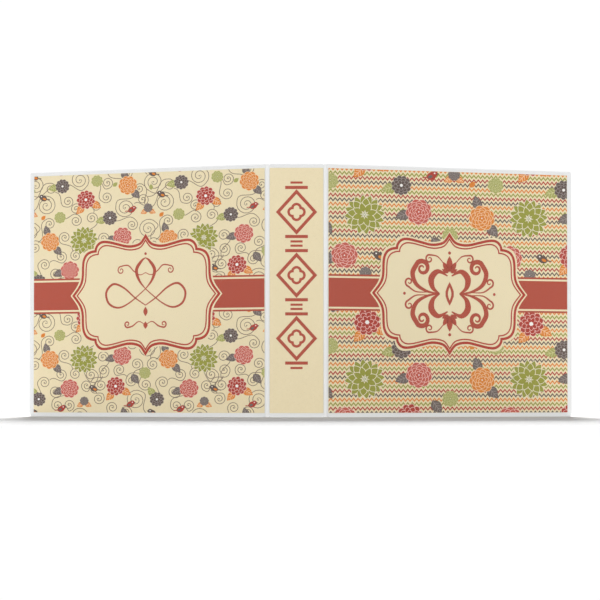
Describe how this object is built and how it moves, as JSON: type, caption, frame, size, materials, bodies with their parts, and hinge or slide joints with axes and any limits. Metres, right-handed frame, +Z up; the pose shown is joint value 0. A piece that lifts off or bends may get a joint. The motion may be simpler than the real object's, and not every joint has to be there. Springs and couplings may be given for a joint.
{
  "type": "scrapbook album",
  "caption": "Ring-bound scrapbook album with stiff vinyl covers, clear view pockets holding printed inserts, opening levers at the ring mechanism's ends, and page protectors.",
  "frame": {"origin": "middle of the spine's bottom edge, in the spine board's middle plane", "axes": "+X across the open album from the back cover to the front cover, +Y from the spine towards the pages inside, +Z up along the spine; the outside of the album faces -Y"},
  "size_m": [0.7429, 0.367, 0.335],
  "materials": {
    "vinyl_white": "white vinyl, satin",
    "vinyl_clear": "clear vinyl film, glossy, see-through",
    "grey_board": "grey binder's board",
    "printed_insert": "cream printed paper, matt, with red band and patterned ornament",
    "page_card": "off-white card, matt",
    "page_film": "clear polypropylene film, glossy, see-through",
    "nickel_plated_steel": "nickel plated steel, polished",
    "spring_steel": "spring steel, satin",
    "strip_plastic": "milky plastic, satin"
  },
  "bodies": {
    "spine": {"spine_board": "grey_board", "spine_outer_skin": "vinyl_white", "spine_liner": "vinyl_white", "spine_clear_overlay": "vinyl_clear", "front_cover_hinge_web": "vinyl_white", "back_cover_hinge_web": "vinyl_white", "ring_cover_plate": "nickel_plated_steel", "upper_rivet": "nickel_plated_steel", "lower_rivet": "nickel_plated_steel", "top_lever_pin": "spring_steel", "bottom_lever_pin": "spring_steel"},
    "front_cover": {"front_cover_outer_skin": "vinyl_white", "front_cover_board": "grey_board", "front_cover_liner": "vinyl_white", "front_cover_clear_overlay": "vinyl_clear"},
    "back_cover": {"back_cover_outer_skin": "vinyl_white", "back_cover_board": "grey_board", "back_cover_liner": "vinyl_white", "back_cover_clear_overlay": "vinyl_clear"},
    "front_cover_print": {"front_cover_insert": "printed_insert"},
    "back_cover_print": {"back_cover_insert": "printed_insert"},
    "spine_print": {"spine_insert": "printed_insert"},
    "left_rings": {"left_blade": "spring_steel", "left_ring_lower": "nickel_plated_steel", "left_ring_middle": "nickel_plated_steel", "left_ring_upper": "nickel_plated_steel"},
    "right_rings": {"right_blade": "spring_steel", "right_ring_lower": "nickel_plated_steel", "right_ring_middle": "nickel_plated_steel", "right_ring_upper": "nickel_plated_steel"},
    "top_lever": {"top_lever": "nickel_plated_steel"},
    "bottom_lever": {"bottom_lever": "nickel_plated_steel"},
    "page_1": {"page_1_binding_strip": "strip_plastic", "page_1_front_film": "page_film", "page_1_back_film": "page_film"},
    "page_1_paper": {"page_1_card": "page_card"},
    "page_2": {"page_2_binding_strip": "strip_plastic", "page_2_front_film": "page_film", "page_2_back_film": "page_film"},
    "page_2_paper": {"page_2_card": "page_card"},
    "page_3": {"page_3_binding_strip": "strip_plastic", "page_3_front_film": "page_film", "page_3_back_film": "page_film"},
    "page_3_paper": {"page_3_card": "page_card"},
    "page_4": {"page_4_binding_strip": "strip_plastic", "page_4_front_film": "page_film", "page_4_back_film": "page_film"},
    "page_4_paper": {"page_4_card": "page_card"},
    "page_5": {"page_5_binding_strip": "strip_plastic", "page_5_front_film": "page_film", "page_5_back_film": "page_film"},
    "page_5_paper": {"page_5_card": "page_card"}
  },
  "joints": [
    {"name": "front_cover_hinge", "type": "hinge", "parent": "spine", "child": "front_cover", "pos_m": [0.0385, 0, 0], "axis": [0, 0, 1], "range_deg": [-23, 67]},
    {"name": "back_cover_hinge", "type": "hinge", "parent": "spine", "child": "back_cover", "pos_m": [-0.0385, 0, 0], "axis": [0, 0, -1], "range_deg": [-26.5, 63.5]},
    {"name": "front_cover_insert_slide", "type": "slide", "parent": "front_cover", "child": "front_cover_print", "axis": [0, 0, 1], "range_m": [0, 0.3]},
    {"name": "back_cover_insert_slide", "type": "slide", "parent": "back_cover", "child": "back_cover_print", "axis": [0, 0, 1], "range_m": [0, 0.3]},
    {"name": "spine_insert_slide", "type": "slide", "parent": "spine", "child": "spine_print", "axis": [0, 0, 1], "range_m": [0, 0.3]},
    {"name": "right_rings_open", "type": "hinge", "parent": "spine", "child": "right_rings", "pos_m": [0.0176, 0.0042, 0], "axis": [0, 0, 1], "range_deg": [-9, 0]},
    {"name": "left_rings_open", "type": "hinge", "parent": "spine", "child": "left_rings", "pos_m": [-0.0176, 0.0042, 0], "axis": [0, 0, 1], "range_deg": [0, 9]},
    {"name": "top_lever_press", "type": "hinge", "parent": "spine", "child": "top_lever", "pos_m": [0, 0.0047, 0.2985], "axis": [1, 0, 0], "range_deg": [0, 21.5]},
    {"name": "bottom_lever_press", "type": "hinge", "parent": "spine", "child": "bottom_lever", "pos_m": [0, 0.0047, 0.0365], "axis": [-1, 0, 0], "range_deg": [0, 21.5]},
    {"name": "page_1_turn", "type": "hinge", "parent": "left_rings", "child": "page_1", "pos_m": [0, 0.0275, 0], "axis": [0, 0, -1], "range_deg": [-22.6, 54.1]},
    {"name": "page_1_card_slide", "type": "slide", "parent": "page_1", "child": "page_1_paper", "axis": [0, 0, 1], "range_m": [0, 0.3]},
    {"name": "page_2_turn", "type": "hinge", "parent": "left_rings", "child": "page_2", "pos_m": [0, 0.0275, 0], "axis": [0, 0, -1], "range_deg": [-18.5, 44]},
    {"name": "page_2_card_slide", "type": "slide", "parent": "page_2", "child": "page_2_paper", "axis": [0, 0, 1], "range_m": [0, 0.3]},
    {"name": "page_3_turn", "type": "hinge", "parent": "right_rings", "child": "page_3", "pos_m": [0, 0.0275, 0], "axis": [0, 0, 1], "range_deg": [-38, 0]},
    {"name": "page_3_card_slide", "type": "slide", "parent": "page_3", "child": "page_3_paper", "axis": [0, 0, 1], "range_m": [0, 0.3]},
    {"name": "page_4_turn", "type": "hinge", "parent": "right_rings", "child": "page_4", "pos_m": [0, 0.0275, 0], "axis": [0, 0, 1], "range_deg": [-15.2, 44]},
    {"name": "page_4_card_slide", "type": "slide", "parent": "page_4", "child": "page_4_paper", "axis": [0, 0, 1], "range_m": [0, 0.3]},
    {"name": "page_5_turn", "type": "hinge", "parent": "right_rings", "child": "page_5", "pos_m": [0, 0.0275, 0], "axis": [0, 0, 1], "range_deg": [-18.6, 54.1]},
    {"name": "page_5_card_slide", "type": "slide", "parent": "page_5", "child": "page_5_paper", "axis": [0, 0, 1], "range_m": [0, 0.3]}
  ],
  "couplings": [
    {"joint": "left_rings_open", "follows": "right_rings_open", "ratio": -1},
    {"joint": "top_lever_press", "follows": "right_rings_open", "ratio": -2.3888},
    {"joint": "bottom_lever_press", "follows": "right_rings_open", "ratio": -2.3888},
    {"joint": "page_1_turn", "follows": "back_cover_hinge", "ratio": 0.8504},
    {"joint": "page_2_turn", "follows": "back_cover_hinge", "ratio": 0.6929},
    {"joint": "page_4_turn", "follows": "front_cover_hinge", "ratio": 0.6567},
    {"joint": "page_5_turn", "follows": "front_cover_hinge", "ratio": 0.806}
  ]
}
